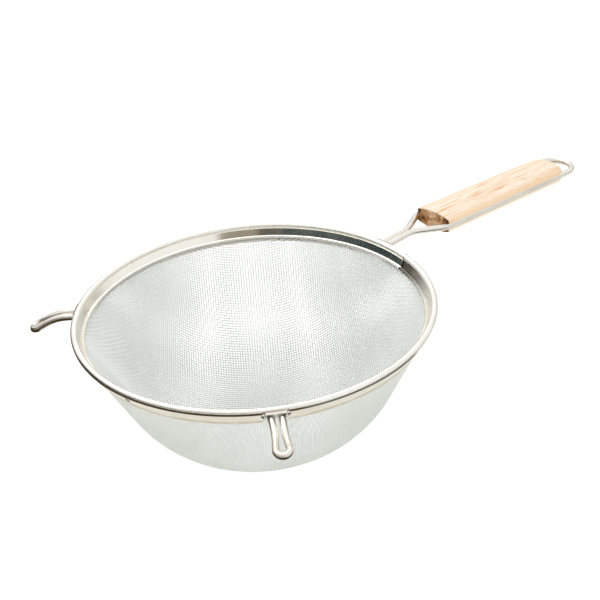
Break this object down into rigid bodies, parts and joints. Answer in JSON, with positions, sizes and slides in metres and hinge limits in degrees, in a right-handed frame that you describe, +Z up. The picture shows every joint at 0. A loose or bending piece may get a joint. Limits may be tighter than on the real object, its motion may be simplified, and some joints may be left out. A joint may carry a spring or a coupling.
{
  "type": "double mesh strainer",
  "caption": "Round bowl strainer with two nested wire-mesh bowls in a rolled rim band, rest hooks, and a bent-wire handle with a wooden grip.",
  "frame": {"origin": "centre of the flattened underside of the mesh bowl, where it rests", "axes": "+Z up through the bowl's mouth, square to the rim; +X from the bowl along the handle towards its hanging loop; +Y to the left of the handle"},
  "size_m": [0.4722, 0.269, 0.1093],
  "materials": {
    "rim_steel": "bright tinned sheet",
    "core_wire": "plain drawn wire",
    "outer_mesh": "tinned woven wire",
    "inner_mesh": "tinned woven wire",
    "bent_wire": "bright tinned wire",
    "grip_wood": "sanded, unvarnished"
  },
  "bodies": {
    "root": {"rim_band": "rim_steel", "rim_core_wire": "core_wire", "outer_mesh_bowl": "outer_mesh", "inner_mesh_bowl": "inner_mesh", "handle_wire": "bent_wire", "handle_grip": "grip_wood", "rest_hook_left": "bent_wire", "rest_hook_right": "bent_wire"}
  },
  "joints": []
}
